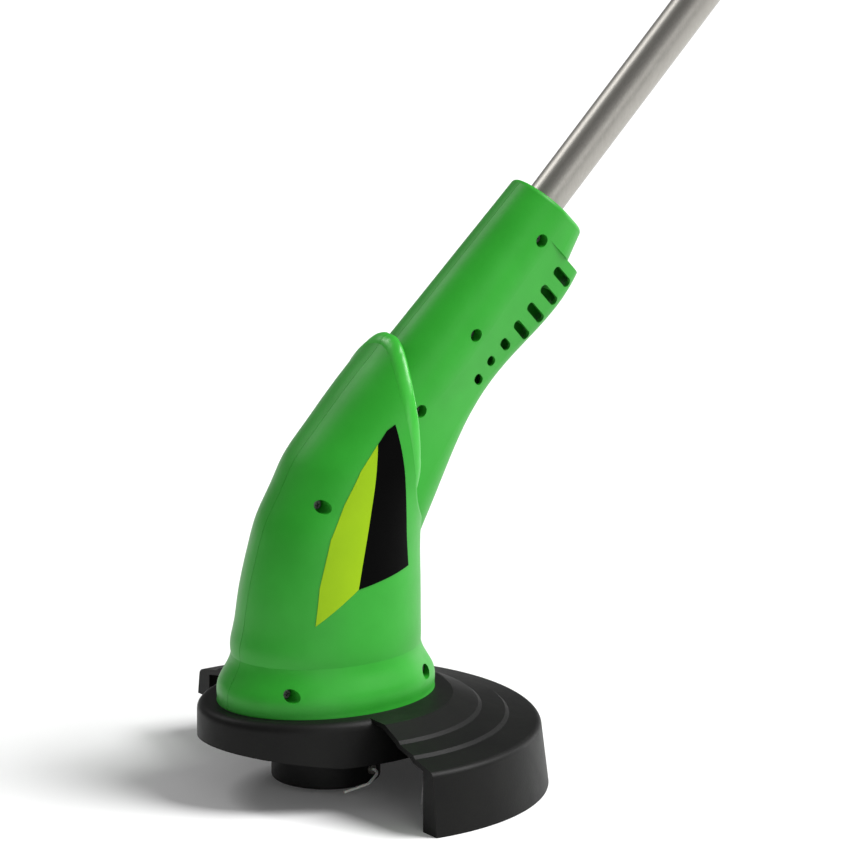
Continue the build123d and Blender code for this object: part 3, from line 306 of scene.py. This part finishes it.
# %% Sticker helper
STICKER_LIFT = 0.00012
STICKER_THICKNESS = 0.0003
STICKER_SHARP = 40
GRID_STEP = 0.002
RAY_FROM = -0.2


def sticker(name, outline, finish):
    """A convex patch, its outline given as X and Z in millimetres, laid on the pod's near side."""
    corners = [Vector((x, 0, z)) / MM_IN_M for x, z in outline]
    middle = sum(corners, Vector()) / len(corners)
    reach = max((corner - middle).length for corner in corners)
    steps = math.ceil(2 * reach / GRID_STEP)
    patch = bmesh.new()
    bmesh.ops.create_grid(patch, x_segments=steps, y_segments=steps, size=reach)
    upright = Matrix.Rotation(math.pi / 2, 3, "X")
    bmesh.ops.rotate(patch, verts=patch.verts, cent=(0, 0, 0), matrix=upright)
    bmesh.ops.translate(patch, verts=patch.verts, vec=middle)
    for start, end in zip(corners, corners[1:] + corners[:1]):
        outward = (end - start).cross(ACROSS)
        if outward.dot(middle - start) > 0:
            outward.negate()
        everything = patch.verts[:] + patch.edges[:] + patch.faces[:]
        bmesh.ops.bisect_plane(patch, geom=everything, plane_co=start, plane_no=outward, clear_outer=True)
    for vertex in patch.verts:
        outside = Vector((vertex.co.x, RAY_FROM, vertex.co.z))
        spot, normal, _, _ = pod_surface.ray_cast(outside, ACROSS)
        vertex.co = spot + normal * (STICKER_LIFT + STICKER_THICKNESS)
    face_near_side(patch)
    bmesh.ops.solidify(patch, geom=patch.faces[:], thickness=STICKER_THICKNESS)
    piece = finished(name, patch, finish, STICKER_SHARP)
    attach(piece, "frame")


print("sticker", STICKER_THICKNESS * MM_IN_M, "mm thick")

# %% Lime and black fields
lime_vinyl = moulded("lime_vinyl", (0.27, 0.47, 0.0), (0.30, 0.50, 0.001), 0.5, 0.55, 600, 0.02, 0.2)
black_vinyl = moulded("black_vinyl", (0.0008, 0.0008, 0.0008), (0.0012, 0.0012, 0.0012), 0.5, 0.55,
                      600, 0.02, 0.03)
lime_outline = [
    (16.1, 238.9), (2.4, 222.7), (-10.1, 202.6), (-21.6, 179.6),
    (-30.7, 148.2), (-34.6, 122.9), (-5.4, 145.3),
]
black_outline = [
    (29.9, 251.3), (23.4, 247.3), (16.3, 238.9), (-5.1, 145.3),
    (39.4, 153.4), (36.5, 184.9), (32.5, 220.8),
]
sticker("sticker_lime", lime_outline, lime_vinyl)
sticker("sticker_black", black_outline, black_vinyl)

# %% [markdown]
# ## The hood's rolled lip
# The hood overlaps the neck with a rolled edge, which catches the lamp as one bright band. The bead stands
# at most half a millimetre proud. Its green is lighter and glossier than the housing's: the lighter colour
# is a painted highlight for that band, so it is laid over the CAD moulding as a piece with a finish of its
# own.
# First come the lip's route round the tube, which is a smooth curve through a few places on the CAD edge,
# and a ray that measures the moulding there. Distances along the tube and out from its axis are in
# millimetres; points are in metres, as in the rest of the scene.

# %% Lip route
TUBE_FOOT = Vector((0, 0, 0.2))
ALONG = Vector((math.sin(TUBE_LEAN), 0, math.cos(TUBE_LEAN)))
UNDER = Vector((math.cos(TUBE_LEAN), 0, -math.sin(TUBE_LEAN)))
LIP_TURNS = (0, 20, 40, 60, 75, 90, 105, 120, 136)
LIP_ALONG = (105.5, 102.5, 95.5, 83.5, 73.5, 63.9, 54.8, 44.5, 33.1)
ROUTE_DEGREE = 4
RAY_OUT = 0.15
PAST_SEAM = Vector((0, -0.0004, 0))
lip_route = np.polyfit(np.radians(LIP_TURNS), LIP_ALONG, ROUTE_DEGREE)


def reach_of(along, turn):
    """How far the moulding's outside is from the tube's axis, in millimetres, and which way that is."""
    out = -UNDER * math.cos(turn) - ACROSS * math.sin(turn)
    spot = TUBE_FOOT + ALONG * along / MM_IN_M
    hit, _, _, _ = pod_surface.ray_cast(spot + out * RAY_OUT + PAST_SEAM, -out)
    return (hit - spot).length * MM_IN_M, out


print("lip runs from", LIP_ALONG[0], "to", LIP_ALONG[-1], "mm along the tube")

# %% [markdown]
# The bead starts as a grid: one way it runs round the tube from the crest to the heel, the other way across
# the bead. Each vertex sits on the moulding, found by the ray, plus the rise of its row. The CAD edge is
# rounded away, so close to it a parabola through three hits further in takes the ray's place. Towards the
# heel the bead narrows, then draws back and sinks into the moulding.

# %% Bead helper
LIP_TURN = math.radians(LIP_TURNS[-1])
SEAM_TURN = 0.004
LIP_STEPS = 64
GRID_HALF = 0.5
BEAD_ACROSS = (-9.8, -8.8, -7.6, -6.4, -5.0, -2.5, 0.0, 1.0, 1.3)
BEAD_RISE = (-0.5, 0.0, 0.3, 0.5, 0.5, 0.05, -1.1, -2.3, -4.0)
BEAD_THICKNESS = 3.0
HITS_INSIDE = (9, 13, 18)
SIDE_SLANT = 0.6
HEEL_NARROWS = 0.5
FADE_STEPS = 12
FADE_BACK = 2.5
FADE_SINK = 3.0


def edge_of(turn):
    """The edge's place along the tube, and the parabola that carries the moulding past it."""
    along = float(np.polyval(lip_route, turn))
    inside = [along - back for back in HITS_INSIDE]
    return along, np.polyfit(inside, [reach_of(place, turn)[0] for place in inside], 2)


def bead():
    """Half of the rolled lip as a bmesh, on the near side, from the crest to the heel."""
    strip = bmesh.new()
    rows = len(BEAD_ACROSS) - 1
    bmesh.ops.create_grid(strip, x_segments=rows, y_segments=LIP_STEPS, size=GRID_HALF)
    turns = [SEAM_TURN + LIP_TURN * step / LIP_STEPS for step in range(LIP_STEPS + 1)]
    edges = [edge_of(turn) for turn in turns]
    for vertex in strip.verts:
        row = round((vertex.co.x + GRID_HALF) * rows)
        step = round((vertex.co.y + GRID_HALF) * LIP_STEPS)
        turn = turns[step]
        along, run_on = edges[step]
        slant = 1 + SIDE_SLANT * min(1.0, turn)
        narrow = 1 - HEEL_NARROWS * step / LIP_STEPS
        gone = max(0.0, 1 - (LIP_STEPS - step) / FADE_STEPS) ** 2
        place = along + (BEAD_ACROSS[row] * narrow - FADE_BACK * gone) * slant
        last_hit = along - HITS_INSIDE[0]
        reach, out = reach_of(min(place, last_hit), turn)
        if place > last_hit:
            reach = float(np.polyval(run_on, place))
        height = reach + BEAD_RISE[row] * narrow - FADE_SINK * gone
        vertex.co = TUBE_FOOT + ALONG * place / MM_IN_M + out * height / MM_IN_M
    face_near_side(strip)
    bmesh.ops.solidify(strip, geom=strip.faces[:], thickness=BEAD_THICKNESS / MM_IN_M)
    return strip


print("bead", len(BEAD_ACROSS), "rows across,", LIP_STEPS, "steps round")

# %% [markdown]
# The housing is two halves that meet in the middle plane, so the lip is two beads as well. The far one is a
# mirrored copy of the near one. A negative scale turns the faces inside out, so they are turned back.

# %% Both halves of the lip
PIECE_SHARP = 50
# The lip's lighter green is a painted highlight for the bright band the lamp makes along the rolled edge.
lip_painted_highlight = moulded("green_painted_highlight", (0.032, 0.40, 0.028), (0.040, 0.44, 0.036), 0.30, 0.38, gloss=0.5)
near_lip = bead()
far_lip = near_lip.copy()
bmesh.ops.scale(far_lip, verts=far_lip.verts, vec=(1, -1, 1))
bmesh.ops.reverse_faces(far_lip, faces=far_lip.faces)
for name, shape in (("hood_lip_left", near_lip), ("hood_lip_right", far_lip)):
    half = finished(name, shape, lip_painted_highlight, PIECE_SHARP)
    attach(half, "frame")

# %% [markdown]
# ## The spool spring
# Inside the line head a coil spring holds the spool down, and it shortens when the head is tapped on the
# ground. A CAD node can't shorten, so the coil is wound again here: a small disc of wire is spun round the
# axis and lifted a little at each step. It stands for the CAD spring.

# %% Coil
SPRING_TURNS = 5
SPRING_STEPS = 20
WIRE_SIDES = 12
WIRE_RADIUS = 0.0006
SAME_PLACE = 1e-6
spring_low, spring_high = (Vector(corner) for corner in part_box("spool_spring"))
coil_radius = spring_high.x - WIRE_RADIUS
coil_rise = spring_high.z - spring_low.z - 2 * WIRE_RADIUS
coil = bmesh.new()
bmesh.ops.create_circle(coil, cap_ends=True, segments=WIRE_SIDES, radius=WIRE_RADIUS)
on_edge = Matrix.Rotation(math.pi / 2, 3, "X")
bmesh.ops.rotate(coil, verts=coil.verts, cent=(0, 0, 0), matrix=on_edge)
bmesh.ops.translate(coil, verts=coil.verts, vec=(coil_radius, 0, spring_low.z + WIRE_RADIUS))
coil_steps = SPRING_TURNS * SPRING_STEPS
wire_end = coil.verts[:] + coil.edges[:] + coil.faces[:]
bmesh.ops.spin(coil, geom=wire_end, cent=(0, 0, 0), axis=(0, 0, 1), dvec=(0, 0, coil_rise / coil_steps),
               angle=2 * math.pi * SPRING_TURNS, steps=coil_steps)
bmesh.ops.remove_doubles(coil, verts=coil.verts, dist=SAME_PLACE)
bmesh.ops.recalc_face_normals(coil, faces=coil.faces)
print("coil", round(coil_radius * 2 * MM_IN_M, 1), "mm across,", round(coil_rise * MM_IN_M, 1), "mm tall")

# %% Spring in place of the CAD one
spring_coil = finished("spring_coil", coil, plated, PIECE_SHARP)
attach(spring_coil, "rotor")
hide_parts("spool_spring")
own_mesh(spring_coil)

# %% [markdown]
# ## Studio
# The photograph has a white sweep that runs out of sight behind the trimmer, with one soft shadow to the
# left. A large pale floor gives the sweep; a trace of glow keeps it white right up to the edges.

# %% Floor
FLOOR_HALF = 14
FLOOR_CLOUDS = 0.6
FLOOR_ROUGHNESS = 0.9
FLOOR_GLOW = 0.03
sweep = bmesh.new()
bmesh.ops.create_grid(sweep, x_segments=1, y_segments=1, size=FLOOR_HALF)
floor_mesh = bpy.data.meshes.new("floor")
sweep.to_mesh(floor_mesh)
sweep.free()
floor = bpy.data.objects.new("floor", floor_mesh)
bpy.context.scene.collection.objects.link(floor)
pale, tree, shader, place = new_finish("pale_floor")
tint(tree, shader, noise(tree, place, FLOOR_CLOUDS), (0.88, 0.88, 0.88), (0.90, 0.90, 0.90))
shader.inputs["Roughness"].default_value = FLOOR_ROUGHNESS
shader.inputs["Emission Color"].default_value = (1, 1, 1, 1)
shader.inputs["Emission Strength"].default_value = FLOOR_GLOW
floor_mesh.materials.append(pale)
print("floor", 2 * FLOOR_HALF, "m across")

# %% [markdown]
# An even sky fills the shadows. The key lamp is a broad sun on the right, as wide as a large softbox, which
# throws the soft shadow to the left. Three panels do the rest: one in front, one on the right for the lip,
# and one behind on the left for the bright line down the tube's edge.

# %% Sky
SKY_STRENGTH = 0.18
sky = bpy.data.worlds.new("studio")
sky.use_nodes = True
sky.node_tree.nodes["Background"].inputs["Color"].default_value = (1, 1, 1, 1)
sky.node_tree.nodes["Background"].inputs["Strength"].default_value = SKY_STRENGTH
bpy.context.scene.world = sky
print("sky strength", SKY_STRENGTH)


# %% Lamp helpers
def aimed(name, data, place, aim):
    """A lamp at a place, turned to face what it lights."""
    light = bpy.data.objects.new(name, data)
    light.location = place
    light.rotation_euler = (Vector(aim) - Vector(place)).to_track_quat("-Z", "Y").to_euler()
    bpy.context.scene.collection.objects.link(light)


def panel(name, place, aim, wide, tall, watts):
    """A soft rectangular lamp."""
    data = bpy.data.lights.new(name, "AREA")
    data.shape = "RECTANGLE"
    data.size = wide
    data.size_y = tall
    data.energy = watts
    aimed(name, data, place, aim)


print("helpers:", aimed.__name__, panel.__name__)

# %% Lamps
KEY_ENERGY = 4.2
KEY_WIDTH = math.radians(35)
key = bpy.data.lights.new("key", "SUN")
key.energy = KEY_ENERGY
key.angle = KEY_WIDTH
aimed("key", key, (1.6, -1.1, 2.4), (0, 0, 0.1))
panel("front", (-0.3, -2.2, 0.7), (0.05, 0, 0.25), 1.2, 1.2, 8)
panel("side", (1.8, 0.25, 0.3), (0.05, 0, 0.3), 0.5, 1.0, 6)
panel("rim", (-0.5, 1.2, 1.45), (0.15, 0, 0.35), 0.4, 0.7, 7)
bpy.context.scene.view_settings.view_transform = "Standard"
print("studio lit by", len(bpy.data.lights), "lamps")

# %% [markdown]
# ## Finish
# The dressed trimmer must keep the size of the CAD model.


print("trimmer dressed")
